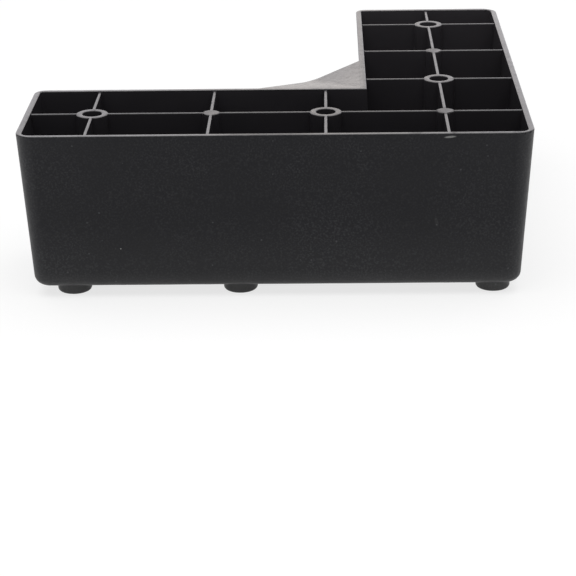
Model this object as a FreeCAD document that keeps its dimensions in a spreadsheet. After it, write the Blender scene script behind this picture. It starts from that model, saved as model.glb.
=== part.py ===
import FreeCAD, Part
import math
import os

import Sketcher

# Corner riser: a one-piece moulded foot with an L-shaped plan, open at the top and stiffened by ribs
# Frame: +Z up, floor at Z = 0, origin under the middle of the square that holds the L
# The outer corner of the L is at +X -Y; one arm runs along X at the front, the other along Y on the right
# Both arms are alike, so every plan feature of the front arm has a twin mirrored in the diagonal

os.makedirs("parts", exist_ok=True)
doc = FreeCAD.newDocument("corner_riser")

# Driving sizes, in millimetres and degrees
SIZES = (
    ("arm_length", 150.0, "outside length of each arm along the rim"),
    ("arm_width", 49.3, "outside width of each arm at the rim"),
    ("overall_height", 51.0, "floor to rim"),
    ("draft_angle", 3.2, "lean of the walls, narrower towards the floor"),
    ("wall_thickness", 1.8, "thickness of the outer walls"),
    ("base_thickness", 2.2, "thickness of the closed underside"),
    ("edge_radius", 5.3, "outside rounding of the three outer upright edges"),
    ("end_radius", 3.6, "outside rounding of the upright edges at the free ends, towards the bend"),
    ("cavity_radius", 2.6, "inside rounding of the outer upright edges"),
    ("cavity_end_radius", 1.0, "inside rounding of the upright edges at the free ends, towards the bend"),
    ("inside_radius", 1.0, "rounding of the upright edge in the inside corner"),
    ("base_radius", 3.0, "rounding between walls and underside"),
    ("rib_thickness", 1.0, "thickness of the inner ribs at their top"),
    ("rib_recess", 0.4, "drop of ribs, tubes and pillars below the rim"),
    ("rib_draft", 0.4, "lean of ribs, tubes and pillars, thicker towards the underside"),
    ("tube_pitch", 35.5, "distance from a screw tube to the next pillar"),
    ("middle_pitch", 34.2, "distance from the middle pillar to the inner screw tube"),
    ("tube_diameter", 9.6, "outside of a screw tube"),
    ("screw_hole", 5.8, "clear hole through a screw tube"),
    ("pillar_diameter", 5.4, "solid pillar at a rib crossing"),
    ("web_leg", 31.7, "reach of the corner web along each inside wall"),
    ("web_thickness", 4.0, "thickness of the corner web at its ends"),
    ("scoop_depth", 2.2, "depth of the hollow in the web at the middle of its free edge"),
    ("foot_diameter", 10.2, "round foot pad"),
    ("foot_height", 3.3, "drop of the foot pads below the underside"),
    ("foot_edge", 1.0, "rounding of the lower edge of a foot pad"),
    ("foot_inset", 10.6, "foot centre from the side it stands next to"),
    ("foot_end_inset", 14.1, "end foot centre from the free end of the arm"),
    ("foot_middle", 86.0, "middle foot centre from the outer corner side"),
)

sheet = doc.addObject("Spreadsheet::Sheet", "Sizes")
for row, (alias, number, meaning) in enumerate(SIZES, start=1):
    sheet.set("A%d" % row, alias)
    sheet.set("B%d" % row, str(number))
    sheet.setAlias("B%d" % row, alias)
    sheet.set("C%d" % row, meaning)
doc.recompute()


class Length:
    """A number with the sheet formula it comes from, so that a sketch starts solved and stays bound."""

    def __init__(self, value, formula):
        self.value = value
        self.formula = formula

    def __add__(self, other):
        return Length(self.value + other.value, "(%s + %s)" % (self.formula, other.formula))

    def __sub__(self, other):
        return Length(self.value - other.value, "(%s - %s)" % (self.formula, other.formula))

    def __neg__(self):
        return Length(-self.value, "(0 - %s)" % self.formula)

    def __mul__(self, factor):
        return Length(self.value * factor, "(%s * %r)" % (self.formula, factor))


def size(alias):
    """The driving size of that name."""
    return Length(float(sheet.get(alias)), "Sizes.%s" % alias)


def twin(point):
    """The same point mirrored in the diagonal plane through the outer corner."""
    x, y = point
    return (-y, -x)


# Places in plan that follow from the driving sizes
outer = size("arm_length") * 0.5
inside = outer - size("arm_width")
cavity_outer = outer - size("wall_thickness")
cavity_inside = inside + size("wall_thickness")
rib_line = outer - size("arm_width") * 0.5
near_tube = rib_line - size("tube_pitch")
middle_pillar = near_tube - size("middle_pitch")
far_tube = middle_pillar - size("tube_pitch")
rib_half = size("rib_thickness") * 0.5

# Levels above the floor
rim = size("overall_height")
rib_top = rim - size("rib_recess")
underside = size("foot_height")
foot_root = underside + size("base_thickness") * 0.5


def new_body(label):
    """An empty body with that label."""
    body = doc.addObject("PartDesign::Body", label)
    body.Label = label
    return body


def level_sketch(body, name, level):
    """A horizontal sketch of the body at a bound height above the floor."""
    sketch = body.newObject("Sketcher::SketchObject", name)
    ground = [plane for plane in body.Origin.OriginFeatures if plane.Role == "XY_Plane"][0]
    sketch.AttachmentSupport = [(ground, "")]
    sketch.MapMode = "FlatFace"
    sketch.AttachmentOffset = FreeCAD.Placement(FreeCAD.Vector(0, 0, level.value), FreeCAD.Rotation())
    sketch.setExpression("AttachmentOffset.Base.z", level.formula)
    return sketch


def bind(sketch, kind, geometry, position, length):
    """Fixes one coordinate or size of a sketch element to a length from the sheet."""
    if kind in ("DistanceX", "DistanceY"):
        constraint = Sketcher.Constraint(kind, -1, 1, geometry, position, length.value)
    else:
        constraint = Sketcher.Constraint(kind, geometry, length.value)
    index = sketch.addConstraint(constraint)
    sketch.setExpression("Constraints[%d]" % index, length.formula)


def polygon(sketch, corners):
    """A closed outline of straight lines through bound corners; gives the number of its first line."""
    spots = [FreeCAD.Vector(x.value, y.value, 0) for x, y in corners]
    count = len(spots)
    first = sketch.GeometryCount
    for i in range(count):
        sketch.addGeometry(Part.LineSegment(spots[i], spots[(i + 1) % count]), False)
    for i in range(count):
        sketch.addConstraint(Sketcher.Constraint("Coincident", first + i, 2, first + (i + 1) % count, 1))
        bind(sketch, "DistanceX", first + i, 1, corners[i][0])
        bind(sketch, "DistanceY", first + i, 1, corners[i][1])
    return first


def rectangle(sketch, low, high):
    """A bound rectangle between two opposite corners."""
    polygon(sketch, (low, (high[0], low[1]), high, (low[0], high[1])))


def circle(sketch, centre, radius):
    """A bound circle."""
    spot = FreeCAD.Vector(centre[0].value, centre[1].value, 0)
    index = sketch.addGeometry(Part.Circle(spot, FreeCAD.Vector(0, 0, 1), radius.value), False)
    bind(sketch, "DistanceX", index, 3, centre[0])
    bind(sketch, "DistanceY", index, 3, centre[1])
    bind(sketch, "Radius", index, 3, radius)


def arms_outline(far_side, near_side):
    """The six corners of the L, from its outer faces and its inside faces."""
    return (
        (-far_side, -far_side),
        (far_side, -far_side),
        (far_side, far_side),
        (near_side, far_side),
        (near_side, -near_side),
        (-far_side, -near_side),
    )


def pad_down(body, name, sketch, depth, lean=None):
    """Pads a sketch towards the floor by a bound depth; a lean makes it narrower on the way down."""
    pad = body.newObject("PartDesign::Pad", name)
    pad.Profile = sketch
    pad.Reversed = True
    pad.setExpression("Length", depth.formula)
    if lean:
        pad.setExpression("TaperAngle", (-lean).formula)
    doc.recompute()
    return pad


def pocket_down(body, name, sketch, depth, lean=None):
    """Pockets a sketch towards the floor by a bound depth; a lean makes it wider on the way down."""
    pocket = body.newObject("PartDesign::Pocket", name)
    pocket.Profile = sketch
    pocket.setExpression("Length", depth.formula)
    if lean:
        pocket.setExpression("TaperAngle", lean.formula)
    doc.recompute()
    return pocket


def rounded(body, name, base, wanted, radius):
    """Rounds the edges of a feature that answer the given question."""
    names = ["Edge%d" % i for i, edge in enumerate(base.Shape.Edges, start=1) if wanted(edge)]
    fillet = body.newObject("PartDesign::Fillet", name)
    fillet.Base = (base, names)
    fillet.setExpression("Radius", radius.formula)
    doc.recompute()
    return fillet


def spans(edge):
    """Lowest and highest Z of an edge."""
    heights = [vertex.Z for vertex in edge.Vertexes]
    return min(heights), max(heights)


def upright(far_side, faces):
    """A question true for upright edges on two outer faces, on one (a free end) or on none (the bend)."""
    tolerance = 0.01

    def wanted(edge):
        low, high = spans(edge)
        top = max(edge.Vertexes, key=lambda vertex: vertex.Z)
        on_faces = [abs(place) > far_side.value - tolerance for place in (top.X, top.Y)]
        return high - low > tolerance and sum(on_faces) == faces

    return wanted


def lying_at(level):
    """A question that is true for edges that lie at one height."""
    tolerance = 0.01

    def wanted(edge):
        low, high = spans(edge)
        return abs(low - level.value) < tolerance and abs(high - level.value) < tolerance

    return wanted


# Block: the outside of the riser, leaning walls with rounded edges
riser = new_body("corner_riser")
outline = level_sketch(riser, "rim_outline", rim)
polygon(outline, arms_outline(outer, inside))
block = pad_down(riser, "block", outline, rim - underside, size("draft_angle"))
block_corner = rounded(riser, "inside_corner", block, upright(outer, 0), size("inside_radius"))
block_ends = rounded(riser, "end_edges", block_corner, upright(outer, 1), size("end_radius"))
block_edges = rounded(riser, "upright_edges", block_ends, upright(outer, 2), size("edge_radius"))
block_base = rounded(riser, "base_edge", block_edges, lying_at(underside), size("base_radius"))

# Foot pads: a row along the outer walls, one pad at each free end inside, one by the inside corner
foot_row = outer - size("foot_inset")
foot_back = inside + size("foot_inset")
foot_end = -(outer - size("foot_end_inset"))
foot_middle = outer - size("foot_middle")
feet = [(foot_row, -foot_row), (foot_back, -foot_back)]
for arm_foot in ((foot_middle, -foot_row), (foot_end, -foot_row), (foot_end, -foot_back)):
    feet += [arm_foot, twin(arm_foot)]
foot_sketch = level_sketch(riser, "foot_outlines", foot_root)
for place in feet:
    circle(foot_sketch, place, size("foot_diameter") * 0.5)
foot_pads = pad_down(riser, "foot_pads", foot_sketch, foot_root)
floor_level = Length(0.0, "0")
foot_edges = rounded(riser, "foot_edges", foot_pads, lying_at(floor_level), size("foot_edge"))

# Web: a plate across the inside corner, level with the rim, with a straight free edge
web = new_body("corner_web")
web_root = inside + size("wall_thickness") * 0.5
web_reach = inside - size("web_leg")
web_sketch = level_sketch(web, "web_outline", rim)
root_path = ((web_reach, -web_root), (web_root, -web_root), (web_root, -web_reach))
polygon(web_sketch, ((web_reach, -inside),) + root_path + ((inside, -web_reach),))
pad_down(web, "web_plate", web_sketch, size("web_thickness"))
web_join = riser.newObject("PartDesign::Boolean", "web_join")
web_join.Type = "Fuse"
web_join.setObjects([web])
doc.recompute()

# Scoop: a hollow of straight lines from the inside corner, at the free edge a V with a round bottom
overrun = 1.02
scoop_middle = inside - size("web_leg") * (0.5 * overrun)
scoop_half = size("web_leg") * (math.sqrt(0.5) * overrun)
scoop_round = scoop_half * 0.2
scoop_flank = scoop_half - scoop_round
scoop_brink = size("scoop_depth") * (overrun * 8 / 9)
clearance = size("web_thickness")
slant = math.atan2(scoop_brink.value, scoop_flank.value)
bow_words = (scoop_round.formula, scoop_flank.formula, scoop_brink.formula, scoop_brink.formula)
bow = Length(scoop_round.value / math.sin(slant), "%s * sqrt(%s ^ 2 + %s ^ 2) / %s" % bow_words)
scoop_sketch = riser.newObject("Sketcher::SketchObject", "scoop_profile")
front_plane = [plane for plane in riser.Origin.OriginFeatures if plane.Role == "XZ_Plane"][0]
scoop_sketch.AttachmentSupport = [(front_plane, "")]
scoop_sketch.MapMode = "FlatFace"
scoop_place = FreeCAD.Vector(scoop_middle.value, rim.value, scoop_middle.value)
along_edge = FreeCAD.Rotation(FreeCAD.Vector(0, 1, 0), 45)
scoop_sketch.AttachmentOffset = FreeCAD.Placement(scoop_place, along_edge)
scoop_sketch.setExpression("AttachmentOffset.Base.x", scoop_middle.formula)
scoop_sketch.setExpression("AttachmentOffset.Base.y", rim.formula)
scoop_sketch.setExpression("AttachmentOffset.Base.z", scoop_middle.formula)
left_end = FreeCAD.Vector(-scoop_half.value, 0, 0)
left_low = FreeCAD.Vector(-scoop_round.value, -scoop_brink.value, 0)
right_low = FreeCAD.Vector(scoop_round.value, -scoop_brink.value, 0)
right_end = FreeCAD.Vector(scoop_half.value, 0, 0)
above = FreeCAD.Vector(0, clearance.value, 0)
bow_centre = FreeCAD.Vector(0, bow.value * math.cos(slant) - scoop_brink.value, 0)
bow_circle = Part.Circle(bow_centre, FreeCAD.Vector(0, 0, 1), bow.value)
scoop_sketch.addGeometry(Part.LineSegment(left_end, left_low), False)
scoop_sketch.addGeometry(Part.ArcOfCircle(bow_circle, -math.pi / 2 - slant, -math.pi / 2 + slant), False)
scoop_sketch.addGeometry(Part.LineSegment(right_low, right_end), False)
scoop_sketch.addGeometry(Part.LineSegment(right_end, above), False)
scoop_sketch.addGeometry(Part.LineSegment(above, left_end), False)
LEFT_FLANK, BOW, RIGHT_FLANK, RIGHT_ROOF, LEFT_ROOF = range(5)
START, END = 1, 2
for part in range(5):
    scoop_sketch.addConstraint(Sketcher.Constraint("Coincident", part, END, (part + 1) % 5, START))
scoop_sketch.addConstraint(Sketcher.Constraint("PointOnObject", LEFT_FLANK, START, -1))
scoop_sketch.addConstraint(Sketcher.Constraint("PointOnObject", RIGHT_FLANK, END, -1))
scoop_sketch.addConstraint(Sketcher.Constraint("PointOnObject", LEFT_ROOF, START, -2))
bind(scoop_sketch, "DistanceX", LEFT_FLANK, START, -scoop_half)
bind(scoop_sketch, "DistanceX", LEFT_FLANK, END, -scoop_round)
bind(scoop_sketch, "DistanceY", LEFT_FLANK, END, -scoop_brink)
bind(scoop_sketch, "DistanceX", RIGHT_FLANK, START, scoop_round)
bind(scoop_sketch, "DistanceY", RIGHT_FLANK, START, -scoop_brink)
bind(scoop_sketch, "DistanceX", RIGHT_FLANK, END, scoop_half)
bind(scoop_sketch, "DistanceY", LEFT_ROOF, START, clearance)
bind(scoop_sketch, "Radius", BOW, 3, bow)
scoop_tip = level_sketch(riser, "scoop_tip", rim)
scoop_tip.addGeometry(Part.Point(FreeCAD.Vector(inside.value, -inside.value, 0)), False)
bind(scoop_tip, "DistanceX", 0, 1, inside)
bind(scoop_tip, "DistanceY", 0, 1, -inside)
doc.recompute()
scoop = riser.newObject("PartDesign::SubtractiveLoft", "web_scoop")
scoop.Profile = scoop_sketch
scoop.Sections = [(scoop_tip, ["Vertex1"])]
scoop.Ruled = True
doc.recompute()

# Core: the hollow of the riser, with slots where ribs, tubes and pillars stay
core = new_body("hollow")
hollow_outline = level_sketch(core, "hollow_outline", rim)
polygon(hollow_outline, arms_outline(cavity_outer, cavity_inside))
hollow_depth = rim - underside - size("base_thickness")
hollow_pad = pad_down(core, "hollow_pad", hollow_outline, hollow_depth, size("draft_angle"))
hollow_ends = rounded(core, "hollow_ends", hollow_pad, upright(cavity_outer, 1), size("cavity_end_radius"))
rounded(core, "hollow_edges", hollow_ends, upright(cavity_outer, 2), size("cavity_radius"))

# Long ribs on the centre line of each arm and three cross ribs in each arm
slot_depth = rib_top
along_x = level_sketch(core, "ribs_along_x", rib_top)
along_y = level_sketch(core, "ribs_along_y", rib_top)
rectangle(along_x, (-outer, -(rib_line + rib_half)), (outer, -(rib_line - rib_half)))
rectangle(along_y, (rib_line - rib_half, -outer), (rib_line + rib_half, outer))
for station in (near_tube, middle_pillar, far_tube):
    rectangle(along_x, (inside, -(station + rib_half)), (outer, -(station - rib_half)))
    rectangle(along_y, (station - rib_half, -outer), (station + rib_half, -inside))
pocket_down(core, "slots_along_x", along_x, slot_depth, size("rib_draft"))
pocket_down(core, "slots_along_y", along_y, slot_depth, size("rib_draft"))

# Screw tubes and solid pillars stand on the rib crossings
tube_places = []
pillar_places = [(rib_line, -rib_line)]
for station in (near_tube, far_tube):
    tube_places += [(station, -rib_line), twin((station, -rib_line))]
pillar_places += [(middle_pillar, -rib_line), twin((middle_pillar, -rib_line))]
posts = level_sketch(core, "post_outlines", rib_top)
for place in tube_places:
    circle(posts, place, size("tube_diameter") * 0.5)
for place in pillar_places:
    circle(posts, place, size("pillar_diameter") * 0.5)
pocket_down(core, "post_slots", posts, slot_depth, size("rib_draft"))

hollow_cut = riser.newObject("PartDesign::Boolean", "hollow_cut")
hollow_cut.Type = "Cut"
hollow_cut.setObjects([core])
doc.recompute()

# Screw holes, straight through each tube and the underside
hole_sketch = level_sketch(riser, "screw_holes", rim)
for place in tube_places:
    circle(hole_sketch, place, size("screw_hole") * 0.5)
holes = pocket_down(riser, "screw_hole_cuts", hole_sketch, rim)
riser.Tip = holes
doc.recompute()

for item in doc.Objects:
    if "Invalid" in item.State or "Error" in item.State:
        raise RuntimeError("%s did not build" % item.Label)
if riser.Shape.isNull() or not riser.Shape.isValid() or len(riser.Shape.Solids) != 1:
    raise RuntimeError("corner_riser is not one sound solid")
riser.Shape.exportStep("parts/corner_riser.step")
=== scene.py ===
import math

import bpy
import numpy as np
from mathutils import Matrix, Vector


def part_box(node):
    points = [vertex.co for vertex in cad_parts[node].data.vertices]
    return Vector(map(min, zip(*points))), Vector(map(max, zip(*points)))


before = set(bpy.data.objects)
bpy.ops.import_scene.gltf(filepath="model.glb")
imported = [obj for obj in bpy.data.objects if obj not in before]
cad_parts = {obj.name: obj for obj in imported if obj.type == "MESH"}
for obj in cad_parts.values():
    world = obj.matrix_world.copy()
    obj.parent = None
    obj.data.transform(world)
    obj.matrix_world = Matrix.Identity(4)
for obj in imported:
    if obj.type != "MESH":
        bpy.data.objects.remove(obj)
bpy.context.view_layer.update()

bl_info = {
    "name": "Corner riser",
    "version": (1, 0, 0),
    "blender": (4, 5, 0),
    "location": "3D View > Sidebar > Riser",
    "description": "Finishes a moulded L-shaped furniture riser and sets it on a plain pale stage",
    "category": "Object",
}

RISER_NODE = "corner_riser"
HIGH_CORNER = Vector(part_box(RISER_NODE)[1])
RIM_LEVEL = HIGH_CORNER.z
OUTER_FACE = HIGH_CORNER.x
MILLIMETRE = 0.001

# Small faults of the moulding: middle and half sizes in millimetres, tilt about Y in degrees, strength
BARE_MARKS = (
    ((51.60, -74.30, 51.0), (0.95, 0.90, 1.00), 0.0, 1.0),
    ((74.55, -13.30, 51.0), (0.62, 0.62, 0.80), 0.0, 1.0),
    ((-70.30, -25.90, 51.0), (1.00, 0.75, 0.90), 0.0, 1.0),
    ((-67.90, -25.90, 51.0), (0.90, 0.65, 0.90), 0.0, 1.0),
    ((-49.00, -74.10, 51.0), (4.00, 1.40, 0.80), 0.0, 0.25),
    ((-1.50, -74.10, 51.0), (17.0, 1.40, 0.80), 0.0, 0.60),
    ((40.70, -74.10, 51.0), (2.60, 1.40, 0.80), 0.0, 0.60),
    ((53.40, -74.10, 51.0), (3.00, 1.40, 0.80), 0.0, 0.35),
    ((71.00, -74.10, 51.0), (3.60, 1.40, 0.80), 0.0, 0.40),
    ((50.35, -50.35, 50.6), (5.00, 5.00, 1.00), 0.0, 0.60),
    ((50.35, 19.35, 50.6), (4.60, 4.60, 1.00), 0.0, 0.48),
    ((-19.35, -50.35, 50.6), (4.60, 4.60, 1.00), 0.0, 0.20),
    ((50.35, -53.70, 50.6), (1.20, 0.95, 0.80), 0.0, 1.00),
    ((50.35, 16.10, 50.6), (1.20, 0.80, 0.80), 0.0, 0.60),
    ((50.35, -20.20, 50.6), (1.20, 0.80, 0.80), 0.0, 0.60),
    ((14.85, -55.80, 50.6), (1.20, 0.80, 0.80), 0.0, 0.35),
    ((-19.35, -53.70, 50.6), (1.20, 0.80, 0.80), 0.0, 0.40),
    ((25.70, -12.00, 51.0), (0.45, 22.0, 0.80), 0.0, 0.22),
    ((14.85, -27.80, 50.6), (1.20, 1.30, 0.80), 0.0, 1.00),
    ((-19.35, -27.80, 50.6), (1.20, 1.30, 0.80), 0.0, 1.00),
    ((-54.85, -27.80, 50.6), (1.20, 1.30, 0.80), 0.0, 1.00),
    ((50.35, 73.00, 50.6), (1.20, 1.30, 0.80), 0.0, 1.00),
    ((14.85, -72.90, 50.6), (1.20, 1.20, 0.80), 0.0, 0.80),
    ((-19.35, -72.90, 50.6), (1.20, 1.20, 0.80), 0.0, 0.80),
    ((-54.85, -72.90, 50.6), (1.20, 1.20, 0.80), 0.0, 0.80),
    ((50.35, -72.90, 50.6), (1.20, 1.20, 0.80), 0.0, 0.80),
)
SCUFF_MARKS = (
    ((50.45, -74.95, 49.95), (2.10, 0.80, 0.40), -4.9, 0.62),
    ((-45.72, -73.03, 15.90), (0.22, 0.60, 0.22), 0.0, 1.0),
    ((46.95, -73.50, 23.60), (0.70, 0.60, 2.00), -12.0, 0.035),
)
MARK_CORE = 0.45

# Zones of the moulding: where each one starts and where it is full
SKIN_BAND = (1.3, 0.7)
HOLLOW_BAND = (1.9, 2.3)
LAND_BAND = (1.0, 0.9)
LEVEL_BAND = (0.55, 0.85)
UNDERSIDE_BAND_MM = (4.6, 4.2)
# Painted light: inner walls paler towards the free end of the side arm, a ramp along Y in millimetres
PAINTED_FAR_LIGHT_BAND_MM = (-50.0, 80.0)
# Painted floor-bounce light: bands above the floor in millimetres, each with its share of the paler tone
# close to the floor
PAINTED_BOUNCE_LIGHT_BANDS = (
    ((28.0, 0.0), 0.23),
    ((9.0, 3.0), 0.44),
    ((3.5, 3.1), 0.33),
)

# Texture: sizes as shares of the grain density or per metre, and the part of each noise that shows
COARSE_DENSITY = 0.37
COARSE_HEIGHT = 0.6
SPECK_DENSITY = 0.16
SPECK_CHANCE_BAND = (0.76, 0.78)
SPECK_SPOT_BAND = (0.10, 0.05)
FLECK_BAND = (0.42, 0.74)
CLOUD_SCALE = 38.0
PATCH_BAND = (0.30, 0.70)
PATCH_RANGE = (0.35, 1.0)
WORN_SCALE = 520.0
POLISH_BAND = (0.28, 0.62)

# Surface values at the low and the high end of the mask or noise that drives them
SHADE_RANGE = (0.75, 1.25)
MATTE_RANGE = (0.34, 0.48)
SATIN_RANGE = (0.30, 0.40)
RELIEF_RANGE = (0.12, 1.0)
GLOSS_RANGE = (0.68, 1.02)
HOLLOW_GLOSS_RANGE = (1.0, 0.86)
BARE_GLOSS_RANGE = (1.0, 0.1)
POLISHED_ROUGHNESS = 0.16
PLASTIC_IOR = 1.42

# Edges of the moulding
JOIN_REACH_MM = 0.001
SHARP_ANGLE = 50.0
SOFT_SEGMENTS = 2

# Stage, in metres
WHITE = (1.0, 1.0, 1.0)
BLACK = (0.0, 0.0, 0.0)
SHEET_HALF = 4.0
SHEET_COLUMNS = 9
BACKDROP_PLACE = 2.5
BACKDROP_HEIGHT = 3.0
BACKDROP_ROWS = 13
# Painted shadow on the floor that the walls mirror: across x, from dark in front of the riser to white at the
# sides
PAINTED_FLOOR_SHADOW_SPREAD = (0.05, 0.16)
BACKDROP_SPREAD = (0.08, 0.30)
SOFTBOX_SIZE = 2.2
SOFTBOX_PLACE = (0.0, -0.15, 1.5)
CLIP_RANGE = (0.01, 50.0)
IMAGE_SIDE = 576
SENSOR_WIDTH = 36.0


class RiserShape(bpy.types.PropertyGroup):
    """Sizes of the moulding that its finish has to follow."""

    arm_width: bpy.props.FloatProperty(
        name="Arm width",
        description="Outside width of each arm at the rim",
        default=49.3 * MILLIMETRE,
        unit="LENGTH",
    )
    edge_radius: bpy.props.FloatProperty(
        name="Edge radius",
        description="Outside rounding of the three outer upright edges",
        default=5.3 * MILLIMETRE,
        unit="LENGTH",
    )
    end_radius: bpy.props.FloatProperty(
        name="End radius",
        description="Outside rounding of the upright edges at the free ends, towards the bend",
        default=3.6 * MILLIMETRE,
        unit="LENGTH",
    )
    wall_lean: bpy.props.FloatProperty(
        name="Wall lean",
        description="Draft angle of the outer walls, narrower towards the floor",
        default=math.radians(3.2),
        subtype="ANGLE",
    )
    skin: bpy.props.FloatProperty(
        name="Skin",
        description="Depth below the outer faces that counts as outside, less than the wall thickness",
        default=0.9 * MILLIMETRE,
        unit="LENGTH",
    )
    edge_softness: bpy.props.FloatProperty(
        name="Edge softness",
        description="Rounding of the sharp edges that the moulding shows",
        default=0.28 * MILLIMETRE,
        unit="LENGTH",
    )
    land_drop: bpy.props.FloatProperty(
        name="Land drop",
        description="Depth below the rim within which flat tops take the polished land finish",
        default=2.6 * MILLIMETRE,
        unit="LENGTH",
    )


class PlasticFinish(bpy.types.PropertyGroup):
    """Colours and surface of the black moulded plastic."""

    outside_tone: bpy.props.FloatVectorProperty(
        name="Outside tone",
        description="Colour of the spark-eroded outer walls",
        default=(0.0042, 0.0042, 0.0074),
        subtype="COLOR",
        size=3,
    )
    inside_tone: bpy.props.FloatVectorProperty(
        name="Inside tone",
        description="Colour of ribs, tubes and inner walls",
        default=(0.0295, 0.0273, 0.0312),
        subtype="COLOR",
        size=3,
    )
    # Painted light: inner walls paler towards the free end of the side arm, where the far cells get more
    # light
    painted_far_light_tone: bpy.props.FloatVectorProperty(
        name="Dusty tone",
        description="Paler colour of the inner walls towards the free end of the side arm",
        default=(0.0543, 0.0502, 0.0560),
        subtype="COLOR",
        size=3,
    )
    # Painted floor-bounce light: outer walls and feet paler close to the floor
    painted_bounce_light_tone: bpy.props.FloatVectorProperty(
        name="Lower tone",
        description="Paler colour of the outer walls and feet close to the floor",
        default=(0.078, 0.078, 0.079),
        subtype="COLOR",
        size=3,
    )
    # Pale flecks and specks: partly the grain's own paler tone, partly painted glints of the grain
    fleck_glint_tone: bpy.props.FloatVectorProperty(
        name="Fleck tone",
        description="Light that the fine pale flecks add to the outer texture",
        default=(0.0225, 0.0225, 0.0225),
        subtype="COLOR",
        size=3,
    )
    speck_glint_tone: bpy.props.FloatVectorProperty(
        name="Speck tone",
        description="Light that the sparse pale specks add to the outer texture",
        default=(0.042, 0.042, 0.044),
        subtype="COLOR",
        size=3,
    )
    scuff_tone: bpy.props.FloatVectorProperty(
        name="Scuff tone",
        description="Pale colour of the scraped spots on the outer walls",
        default=(0.42, 0.42, 0.41),
        subtype="COLOR",
        size=3,
    )
    grain_size: bpy.props.FloatProperty(
        name="Grain size",
        description="Size of one grain of the outer texture",
        default=0.58 * MILLIMETRE,
        unit="LENGTH",
    )
    grain_depth: bpy.props.FloatProperty(
        name="Grain depth",
        description="Height of the grains of the outer texture",
        default=0.050 * MILLIMETRE,
        unit="LENGTH",
    )


class RiserStage(bpy.types.PropertyGroup):
    """Camera, floor, backdrop and lights."""

    camera_place: bpy.props.FloatVectorProperty(
        name="Camera place",
        description="Where the camera stands",
        default=(0.015307, -0.632981, 0.222550),
        subtype="TRANSLATION",
        size=3,
    )
    pitch: bpy.props.FloatProperty(
        name="Pitch",
        description="How far the camera looks down",
        default=math.radians(21.394),
        subtype="ANGLE",
    )
    yaw: bpy.props.FloatProperty(
        name="Yaw",
        description="How far the camera looks to the right",
        default=math.radians(-1.229),
        subtype="ANGLE",
    )
    roll: bpy.props.FloatProperty(
        name="Roll",
        description="Turn of the camera about its own line of sight",
        default=math.radians(0.874),
        subtype="ANGLE",
    )
    focal_pixels: bpy.props.FloatProperty(
        name="Focal length in pixels",
        description="Focal length in pixels of the square image",
        default=2032.37,
    )
    floor_tone: bpy.props.FloatVectorProperty(
        name="Floor tone",
        description="Colour of the floor and of the backdrop",
        default=(0.80, 0.80, 0.80),
        subtype="COLOR",
        size=3,
    )
    floor_soft_tone: bpy.props.FloatVectorProperty(
        name="Soft floor tone",
        description="Part of the floor's brightness in the picture that takes the riser's shadow",
        default=(0.30, 0.30, 0.30),
        subtype="COLOR",
        size=3,
    )
    floor_lift: bpy.props.FloatProperty(
        name="Floor lift",
        description="Glow that brings the lit floor up to white in the picture",
        default=0.75,
    )
    # Painted shadow: the floor in front of the riser, as the walls mirror it, darker than at the sides,
    # standing in for the riser's shadow
    floor_glow_painted_shadow: bpy.props.FloatVectorProperty(
        name="Floor glow with painted shadow",
        description="Brightness of the floor in front as the walls mirror it, white at the sides",
        default=(0.62, 0.62, 0.62),
        subtype="COLOR",
        size=3,
    )
    backdrop_glow: bpy.props.FloatVectorProperty(
        name="Backdrop glow",
        description="Warm white in the middle of the backdrop, which the flat tops mirror",
        default=(1.0, 0.950, 0.925),
        subtype="COLOR",
        size=3,
    )
    backdrop_side_glow: bpy.props.FloatVectorProperty(
        name="Backdrop side glow",
        description="Cooler white at the sides of the backdrop",
        default=(0.985, 0.960, 0.985),
        subtype="COLOR",
        size=3,
    )
    softbox_power: bpy.props.FloatProperty(
        name="Softbox power",
        description="Power of the overhead softbox",
        default=26.0,
        unit="POWER",
    )
    fill: bpy.props.FloatProperty(
        name="Fill",
        description="Brightness of the room around the stage",
        default=0.22,
    )


def add_node(tree, kind, settings=None, **inputs):
    """Adds a node, sets its options and fills its inputs with values or links; returns the node."""
    node = tree.nodes.new(kind)
    for option, value in (settings or {}).items():
        setattr(node, option, value)
    for name, value in inputs.items():
        place(tree, node, name.replace("_", " "), value)
    return node


def place(tree, node, key, value):
    """Links a socket to an input or sets the input's own value."""
    socket = node.inputs[key]
    if isinstance(value, bpy.types.NodeSocket):
        tree.links.new(value, socket)
    else:
        socket.default_value = value


def calc(tree, operation, *terms):
    """One arithmetic node on values or sockets; returns its result."""
    node = tree.nodes.new("ShaderNodeMath")
    node.operation = operation
    for index, term in enumerate(terms):
        place(tree, node, index, term)
    return node.outputs[0]


def ramp(tree, value, low, high):
    """A smooth step from 0 at low to 1 at high; low may be above high."""
    node = tree.nodes.new("ShaderNodeMapRange")
    node.interpolation_type = "SMOOTHSTEP"
    flip = low > high
    place(tree, node, "Value", value)
    place(tree, node, "From Min", high if flip else low)
    place(tree, node, "From Max", low if flip else high)
    place(tree, node, "To Min", 1.0 if flip else 0.0)
    place(tree, node, "To Max", 0.0 if flip else 1.0)
    return node.outputs["Result"]


def between(tree, share, low, high):
    """Low plus a share of the way to high."""
    return calc(tree, "MULTIPLY_ADD", share, high - low, low)


def scaled(values, unit):
    """Every value times a unit."""
    return [value * unit for value in values]


def blend(tree, factor, first, second, kind="MIX"):
    """A mix of two colours; returns its colour."""
    node = tree.nodes.new("ShaderNodeMix")
    node.data_type = "RGBA"
    node.blend_type = kind
    place(tree, node, 0, factor)
    place(tree, node, 6, first)
    place(tree, node, 7, second)
    return node.outputs[2]


def opaque(colour):
    """The colour with full alpha."""
    return tuple(colour) + (1.0,)


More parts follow.
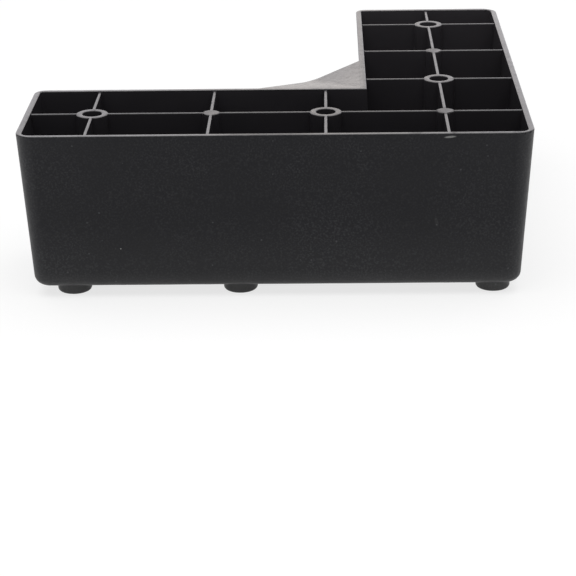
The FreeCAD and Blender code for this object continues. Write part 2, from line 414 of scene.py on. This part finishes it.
def new_group(name, inputs, outputs):
    """An empty shader node group with named sockets; returns the tree, its input and its output node."""
    group = bpy.data.node_groups.new(name, "ShaderNodeTree")
    for label, kind in inputs:
        group.interface.new_socket(name=label, in_out="INPUT", socket_type=kind)
    for label, kind in outputs:
        group.interface.new_socket(name=label, in_out="OUTPUT", socket_type=kind)
    return group, group.nodes.new("NodeGroupInput"), group.nodes.new("NodeGroupOutput")


def arm_depth():
    """Group for the depth of a point below the outer faces of one arm, a rounded rectangle in plan.

    With q the distance of the point from the middle along each axis, less the half size without the
    rounding, the depth is the radius less the length of the positive part of q and less the larger q
    where both are negative.
    """
    names = ("Along X", "Along Y", "Half X", "Half Y", "Lean", "Radius")
    group, source, result = new_group(
        "arm depth",
        [(name, "NodeSocketFloat") for name in names],
        (("Depth", "NodeSocketFloat"),),
    )
    radius = source.outputs["Radius"]
    inset = calc(group, "ADD", source.outputs["Lean"], radius)
    sides = []
    for axis in ("X", "Y"):
        straight = calc(group, "SUBTRACT", source.outputs["Half " + axis], inset)
        distance = calc(group, "ABSOLUTE", source.outputs["Along " + axis])
        sides.append(calc(group, "SUBTRACT", distance, straight))
    squares = [calc(group, "POWER", calc(group, "MAXIMUM", side, 0.0), 2.0) for side in sides]
    outer = calc(group, "SQRT", calc(group, "ADD", *squares))
    inner = calc(group, "MINIMUM", calc(group, "MAXIMUM", *sides), 0.0)
    place(group, result, "Depth", calc(group, "SUBTRACT", radius, calc(group, "ADD", outer, inner)))
    return group


def moulding_zones(shape):
    """Group that tells the outside walls and the flat tops from the rest.

    Outside: less than the skin below the outer faces, where the depth is the larger of the depths in the
    two arms, each leaning in below the rim; the underside counts too. Land: close below the rim and level.
    Hollow: within the walls. Towards the floor: painted floor-bounce light on the outer walls and feet.
    Towards the free end of the side arm: painted light on the inner walls of the far cells.
    """
    group, source, result = new_group(
        "moulding zones",
        (("Place", "NodeSocketVector"), ("Facing", "NodeSocketVector")),
        [(name, "NodeSocketFloat") for name in ("Outside", "Land", "Hollow", "Painted bounce light", "Painted far light")],
    )
    x, y, z = add_node(group, "ShaderNodeSeparateXYZ", Vector=source.outputs["Place"]).outputs
    facing_up = add_node(group, "ShaderNodeSeparateXYZ", Vector=source.outputs["Facing"]).outputs[2]
    lean = calc(group, "MULTIPLY", calc(group, "SUBTRACT", RIM_LEVEL, z), math.tan(shape.wall_lean))
    half_width = shape.arm_width / 2
    centre_line = OUTER_FACE - half_width
    one_arm = arm_depth()
    towards_bend = (calc(group, "ADD", y, centre_line), calc(group, "SUBTRACT", centre_line, x))
    depths = []
    for across, along, axes in zip(towards_bend, (x, y), ("YX", "XY")):
        bend_half = calc(group, "GREATER_THAN", across, 0.0)
        radius = between(group, bend_half, shape.edge_radius, shape.end_radius)
        arm = add_node(group, "ShaderNodeGroup", {"node_tree": one_arm}, Lean=lean, Radius=radius)
        for axis, distance, half in zip(axes, (across, along), (half_width, OUTER_FACE)):
            place(group, arm, "Along " + axis, distance)
            place(group, arm, "Half " + axis, half)
        depths.append(arm.outputs["Depth"])
    depth = calc(group, "MAXIMUM", *depths)
    on_wall = ramp(group, depth, *scaled(SKIN_BAND, shape.skin))
    below = ramp(group, z, *scaled(UNDERSIDE_BAND_MM, MILLIMETRE))
    high = ramp(group, z, *(RIM_LEVEL - drop for drop in scaled(LAND_BAND, shape.land_drop)))
    level = ramp(group, facing_up, *LEVEL_BAND)
    land = calc(group, "MULTIPLY", high, level)
    outside = calc(group, "MAXIMUM", on_wall, below)
    not_land = calc(group, "SUBTRACT", 1.0, land)
    place(group, result, "Outside", calc(group, "MULTIPLY", outside, not_land))
    place(group, result, "Land", land)
    place(group, result, "Hollow", ramp(group, depth, *scaled(HOLLOW_BAND, shape.skin)))
    # Painted floor-bounce light, stronger close to the floor
    painted_bounce_light = 0.0
    for band, share in PAINTED_BOUNCE_LIGHT_BANDS:
        painted_bounce_light = calc(group, "MULTIPLY_ADD", ramp(group, z, *scaled(band, MILLIMETRE)), share, painted_bounce_light)
    place(group, result, "Painted bounce light", painted_bounce_light)
    # Painted light towards the free end of the side arm
    place(group, result, "Painted far light", ramp(group, y, *scaled(PAINTED_FAR_LIGHT_BAND_MM, MILLIMETRE)))
    return group


def marks_cover(tree, where, marks):
    """Cover of a list of oval marks, each at its strength in an ellipsoid and fading to 0 at its edge."""
    cover = 0.0
    for middle, half_sizes, tilt, strength in marks:
        local = add_node(
            tree,
            "ShaderNodeMapping",
            {"vector_type": "TEXTURE"},
            Vector=where,
            Location=scaled(middle, MILLIMETRE),
            Rotation=(0.0, math.radians(tilt), 0.0),
            Scale=scaled(half_sizes, MILLIMETRE),
        )
        reach = add_node(tree, "ShaderNodeVectorMath", {"operation": "LENGTH"})
        tree.links.new(local.outputs[0], reach.inputs[0])
        mark = calc(tree, "MULTIPLY", ramp(tree, reach.outputs["Value"], 1.0, MARK_CORE), strength)
        cover = calc(tree, "MAXIMUM", cover, mark)
    return cover


def moulding_marks():
    """Group for small faults: Bare, where the flat tops lost their polish, and Scuff, scraped pale."""
    group, source, result = new_group(
        "moulding marks",
        (("Place", "NodeSocketVector"),),
        (("Bare", "NodeSocketFloat"), ("Scuff", "NodeSocketFloat")),
    )
    place(group, result, "Bare", marks_cover(group, source.outputs["Place"], BARE_MARKS))
    place(group, result, "Scuff", marks_cover(group, source.outputs["Place"], SCUFF_MARKS))
    return group


def spark_grain():
    """Group for a spark-eroded mould texture: grains of two sizes, patchy flecks and sparse specks."""
    # The pale flecks and specks are partly the grain's own tone and partly painted glints
    group, source, result = new_group(
        "spark grain",
        (("Place", "NodeSocketVector"), ("Density", "NodeSocketFloat")),
        (
            ("Height", "NodeSocketFloat"),
            ("Fleck", "NodeSocketFloat"),
            ("Speck", "NodeSocketFloat"),
            ("Cloud", "NodeSocketFloat"),
            ("Polish", "NodeSocketFloat"),
        ),
    )
    where, density = source.outputs["Place"], source.outputs["Density"]
    fine = add_node(group, "ShaderNodeTexNoise", Vector=where, Scale=density, Detail=3.0, Roughness=0.55)
    coarse_scale = calc(group, "MULTIPLY", density, COARSE_DENSITY)
    coarse = add_node(group, "ShaderNodeTexNoise", Vector=where, Scale=coarse_scale, Detail=1.0)
    speck_scale = calc(group, "MULTIPLY", density, SPECK_DENSITY)
    cells = add_node(
        group, "ShaderNodeTexVoronoi", {"feature": "F1"}, Vector=where, Scale=speck_scale, Randomness=1.0
    )
    cloud = add_node(group, "ShaderNodeTexNoise", Vector=where, Scale=CLOUD_SCALE, Detail=4.0, Roughness=0.6)
    worn = add_node(group, "ShaderNodeTexNoise", Vector=where, Scale=WORN_SCALE, Detail=3.0, Roughness=0.6)
    grains = calc(group, "MULTIPLY_ADD", coarse.outputs["Fac"], COARSE_HEIGHT, fine.outputs["Fac"])
    place(group, result, "Height", grains)
    patchy = between(group, ramp(group, cloud.outputs["Fac"], *PATCH_BAND), *PATCH_RANGE)
    flecks = ramp(group, fine.outputs["Fac"], *FLECK_BAND)
    place(group, result, "Fleck", calc(group, "MULTIPLY", flecks, patchy))
    chance = add_node(group, "ShaderNodeSeparateColor", Color=cells.outputs["Color"]).outputs[0]
    picked = ramp(group, chance, *SPECK_CHANCE_BAND)
    near = ramp(group, cells.outputs["Distance"], *SPECK_SPOT_BAND)
    place(group, result, "Speck", calc(group, "MULTIPLY", picked, near))
    place(group, result, "Cloud", cloud.outputs["Fac"])
    place(group, result, "Polish", ramp(group, worn.outputs["Fac"], *POLISH_BAND))
    return group


def plastic_material(shape, finish):
    """Black plastic: matte spark-eroded outer walls, smoother ribs and inner walls, polished flat tops."""
    material = bpy.data.materials.new("moulded black plastic")
    material.use_nodes = True
    tree = material.node_tree
    shader = tree.nodes["Principled BSDF"]
    where = tree.nodes.new("ShaderNodeTexCoord").outputs["Object"]
    facing = tree.nodes.new("ShaderNodeNewGeometry").outputs["True Normal"]
    zone_group = moulding_zones(shape)
    zones = add_node(tree, "ShaderNodeGroup", {"node_tree": zone_group}, Place=where, Facing=facing)
    outside, land, hollow, painted_bounce_light, painted_far_light = zones.outputs
    density = 1.0 / finish.grain_size
    grain = add_node(tree, "ShaderNodeGroup", {"node_tree": spark_grain()}, Place=where, Density=density)
    height, fleck, speck, cloud, polish = grain.outputs
    marks = add_node(tree, "ShaderNodeGroup", {"node_tree": moulding_marks()}, Place=where)
    bare, scuff = marks.outputs

    # Painted floor-bounce light: the outer tone grows paler close to the floor
    outer_tone = blend(tree, painted_bounce_light, opaque(finish.outside_tone), opaque(finish.painted_bounce_light_tone))
    # Pale flecks: partly the grain's own tone, partly painted glints
    outer_tone = blend(tree, fleck, outer_tone, opaque(finish.fleck_glint_tone), "ADD")
    # Painted light: inner tone paler towards the free end of the side arm
    inner_tone = blend(tree, painted_far_light, opaque(finish.inside_tone), opaque(finish.painted_far_light_tone))
    tone = blend(tree, outside, inner_tone, outer_tone)
    shade = between(tree, cloud, *SHADE_RANGE)
    grey = add_node(tree, "ShaderNodeCombineColor", Red=shade, Green=shade, Blue=shade).outputs[0]
    varied = blend(tree, 1.0, tone, grey, "MULTIPLY")
    # Pale specks: partly the grain's own tone, partly painted glints
    outer_speck = calc(tree, "MULTIPLY", speck, outside)
    specked = blend(tree, outer_speck, varied, opaque(finish.speck_glint_tone), "ADD")
    outer_scuff = calc(tree, "MULTIPLY", scuff, outside)
    place(tree, shader, "Base Color", blend(tree, outer_scuff, specked, opaque(finish.scuff_tone)))

    matte = between(tree, cloud, *MATTE_RANGE)
    satin = between(tree, cloud, *SATIN_RANGE)
    rough = add_node(tree, "ShaderNodeMix", {"data_type": "FLOAT"})
    place(tree, rough, 0, outside)
    place(tree, rough, 2, satin)
    place(tree, rough, 3, matte)
    place(tree, shader, "Roughness", rough.outputs[0])

    relief = calc(tree, "MULTIPLY", height, between(tree, outside, *RELIEF_RANGE))
    bump = add_node(tree, "ShaderNodeBump", Strength=1.0, Distance=finish.grain_depth, Height=relief)
    place(tree, shader, "Normal", bump.outputs["Normal"])

    gloss = between(tree, polish, *GLOSS_RANGE)
    gloss = calc(tree, "MULTIPLY", gloss, between(tree, hollow, *HOLLOW_GLOSS_RANGE))
    gloss = calc(tree, "MULTIPLY", gloss, between(tree, bare, *BARE_GLOSS_RANGE))
    place(tree, shader, "Coat Weight", calc(tree, "MULTIPLY", land, gloss))
    shader.inputs["Coat Roughness"].default_value = POLISHED_ROUGHNESS
    shader.inputs["IOR"].default_value = PLASTIC_IOR
    return material


def glow_material(name, tone, soft_tone, lift, middle_glow, side_glow, spread):
    """Pale stage surface: the camera sees a softer paint with a white glow, gloss and glass see a glow alone.

    The glow that gloss and glass see goes from one colour in the middle to another at the sides.
    """
    material = bpy.data.materials.new(name)
    material.use_nodes = True
    tree = material.node_tree
    tree.nodes.remove(tree.nodes["Principled BSDF"])
    output = tree.nodes["Material Output"]
    rays = tree.nodes.new("ShaderNodeLightPath").outputs
    where = tree.nodes.new("ShaderNodeTexCoord").outputs["Object"]
    across = calc(tree, "ABSOLUTE", add_node(tree, "ShaderNodeSeparateXYZ", Vector=where).outputs[0])
    mirrored = blend(tree, ramp(tree, across, *spread), opaque(middle_glow), opaque(side_glow))
    paint = add_node(tree, "ShaderNodeBsdfDiffuse", Color=opaque(tone))
    soft_paint = add_node(tree, "ShaderNodeBsdfDiffuse", Color=opaque(soft_tone))
    glow = add_node(tree, "ShaderNodeEmission", Color=opaque(WHITE), Strength=lift)
    seen = tree.nodes.new("ShaderNodeAddShader")
    tree.links.new(soft_paint.outputs[0], seen.inputs[0])
    tree.links.new(glow.outputs[0], seen.inputs[1])
    even = add_node(tree, "ShaderNodeEmission", Color=mirrored, Strength=1.0)
    by_camera = tree.nodes.new("ShaderNodeMixShader")
    tree.links.new(rays["Is Camera Ray"], by_camera.inputs[0])
    tree.links.new(paint.outputs[0], by_camera.inputs[1])
    tree.links.new(seen.outputs[0], by_camera.inputs[2])
    by_gloss = tree.nodes.new("ShaderNodeMixShader")
    mirror_rays = calc(tree, "MAXIMUM", rays["Is Glossy Ray"], rays["Is Transmission Ray"])
    tree.links.new(mirror_rays, by_gloss.inputs[0])
    tree.links.new(by_camera.outputs[0], by_gloss.inputs[1])
    tree.links.new(even.outputs[0], by_gloss.inputs[2])
    tree.links.new(by_gloss.outputs[0], output.inputs["Surface"])
    return material


def grid_mesh(name, points):
    """A mesh of quads over a grid of points of shape rows by columns by three."""
    rows, columns = points.shape[:2]
    numbers = np.arange(rows * columns).reshape(rows, columns)
    corners = (numbers[:-1, :-1], numbers[:-1, 1:], numbers[1:, 1:], numbers[1:, :-1])
    quads = np.stack(corners, axis=-1)
    mesh = bpy.data.meshes.new(name)
    mesh.from_pydata(points.reshape(-1, 3).tolist(), [], quads.reshape(-1, 4).tolist())
    mesh.update()
    return mesh


def add_stage_sheet(name, points, material):
    """Puts a stage sheet into the scene."""
    mesh = grid_mesh(name, points)
    mesh.materials.append(material)
    sheet = bpy.data.objects.new(name, mesh)
    bpy.context.scene.collection.objects.link(sheet)
    return sheet


class RISER_OT_finish(bpy.types.Operator):
    """Gives the moulding its black plastic finish"""

    bl_idname = "riser.finish"
    bl_label = "Finish the moulding"

    def execute(self, context):
        material = plastic_material(context.scene.riser_shape, context.scene.riser_finish)
        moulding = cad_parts[RISER_NODE]
        moulding.data.materials.clear()
        moulding.data.materials.append(material)
        self.soften_edges(moulding, context.scene.riser_shape.edge_softness)
        return {"FINISHED"}

    def soften_edges(self, moulding, width):
        """Joins the faces at their shared corners and rounds every sharp edge a little."""
        weld = moulding.modifiers.new("joined corners", "WELD")
        weld.merge_threshold = JOIN_REACH_MM * MILLIMETRE
        soft = moulding.modifiers.new("soft edges", "BEVEL")
        soft.limit_method = "ANGLE"
        soft.angle_limit = math.radians(SHARP_ANGLE)
        soft.width = width
        soft.segments = SOFT_SEGMENTS
        soft.use_clamp_overlap = False
        shading = moulding.modifiers.new("even shading", "WEIGHTED_NORMAL")
        shading.mode = "FACE_AREA"
        shading.weight = 100


class RISER_OT_stage(bpy.types.Operator):
    """Sets up the pale floor, the backdrop, the soft light and the camera"""

    bl_idname = "riser.stage"
    bl_label = "Set the stage"

    def execute(self, context):
        stage = context.scene.riser_stage
        self.add_sheets(stage)
        self.add_lights(stage)
        self.add_camera(context.scene, stage)
        context.scene.view_settings.view_transform = "Standard"
        return {"FINISHED"}

    def add_sheets(self, stage):
        """Floor: z = 0 over a wide square. Backdrop: a tall upright sheet, y fixed far behind the riser."""
        across = np.linspace(-SHEET_HALF, SHEET_HALF, SHEET_COLUMNS)
        flat = np.stack(np.broadcast_arrays(across[None, :], across[:, None], 0.0), axis=-1)
        floor = glow_material(
            "pale floor",
            tone=stage.floor_tone,
            soft_tone=stage.floor_soft_tone,
            lift=stage.floor_lift,
            middle_glow=stage.floor_glow_painted_shadow,
            # Painted shadow in front of the riser, seen only in reflections
            side_glow=WHITE,
            spread=PAINTED_FLOOR_SHADOW_SPREAD,
        )
        add_stage_sheet("floor", flat, floor)
        tall = np.linspace(0.0, BACKDROP_HEIGHT, BACKDROP_ROWS)
        back = np.stack(np.broadcast_arrays(-across[None, :], BACKDROP_PLACE, tall[:, None]), axis=-1)
        backdrop = glow_material(
            "pale backdrop",
            tone=stage.floor_tone,
            soft_tone=BLACK,
            lift=1.0,
            middle_glow=stage.backdrop_glow,
            side_glow=stage.backdrop_side_glow,
            spread=BACKDROP_SPREAD,
        )
        add_stage_sheet("backdrop", back, backdrop)

    def add_lights(self, stage):
        """One wide softbox overhead, a little in front of the riser, and an even room."""
        lamp = bpy.data.lights.new("softbox", "AREA")
        lamp.shape = "SQUARE"
        lamp.size = SOFTBOX_SIZE
        lamp.energy = stage.softbox_power
        softbox = bpy.data.objects.new("softbox", lamp)
        softbox.location = SOFTBOX_PLACE
        bpy.context.scene.collection.objects.link(softbox)
        world = bpy.data.worlds.new("room")
        world.use_nodes = True
        background = world.node_tree.nodes["Background"]
        background.inputs["Color"].default_value = opaque(WHITE)
        background.inputs["Strength"].default_value = stage.fill
        bpy.context.scene.world = world

    def add_camera(self, scene, stage):
        """Camera axes from pitch, yaw and roll; the focal length follows from the one in pixels."""
        forward = Vector((
            math.sin(stage.yaw) * math.cos(stage.pitch),
            math.cos(stage.yaw) * math.cos(stage.pitch),
            -math.sin(stage.pitch),
        ))
        right = Vector((math.cos(stage.yaw), -math.sin(stage.yaw), 0.0))
        down = forward.cross(right)
        turned_right = right * math.cos(stage.roll) + down * math.sin(stage.roll)
        turned_down = down * math.cos(stage.roll) - right * math.sin(stage.roll)
        lens = bpy.data.cameras.new("camera")
        lens.sensor_fit = "HORIZONTAL"
        lens.sensor_width = SENSOR_WIDTH
        lens.lens = stage.focal_pixels * SENSOR_WIDTH / IMAGE_SIDE
        lens.clip_start, lens.clip_end = CLIP_RANGE
        camera = bpy.data.objects.new("camera", lens)
        axes = Matrix((turned_right, -turned_down, -forward)).transposed()
        camera.matrix_world = Matrix.Translation(stage.camera_place) @ axes.to_4x4()
        scene.collection.objects.link(camera)
        scene.camera = camera


class RISER_PT_panel(bpy.types.Panel):
    """Lists the steps and the values of the riser"""

    bl_idname = "RISER_PT_panel"
    bl_label = "Corner riser"
    bl_space_type = "VIEW_3D"
    bl_region_type = "UI"
    bl_category = "Riser"

    def draw(self, context):
        for group in (context.scene.riser_shape, context.scene.riser_finish, context.scene.riser_stage):
            box = self.layout.box()
            for name in group.__annotations__:
                box.prop(group, name)
        for operator in (RISER_OT_finish, RISER_OT_stage):
            self.layout.operator(operator.bl_idname)


CLASSES = (RiserShape, PlasticFinish, RiserStage, RISER_OT_finish, RISER_OT_stage, RISER_PT_panel)


def register():
    """Registers the classes and hangs the values on the scene."""
    for item in CLASSES:
        bpy.utils.register_class(item)
    bpy.types.Scene.riser_shape = bpy.props.PointerProperty(type=RiserShape)
    bpy.types.Scene.riser_finish = bpy.props.PointerProperty(type=PlasticFinish)
    bpy.types.Scene.riser_stage = bpy.props.PointerProperty(type=RiserStage)


def unregister():
    """Takes away what register added."""
    del bpy.types.Scene.riser_stage
    del bpy.types.Scene.riser_finish
    del bpy.types.Scene.riser_shape
    for item in reversed(CLASSES):
        bpy.utils.unregister_class(item)


def main():
    """Registers the classes and runs the steps in order."""
    register()
    bpy.ops.riser.finish()
    bpy.ops.riser.stage()


if __name__ == "__main__":
    main()
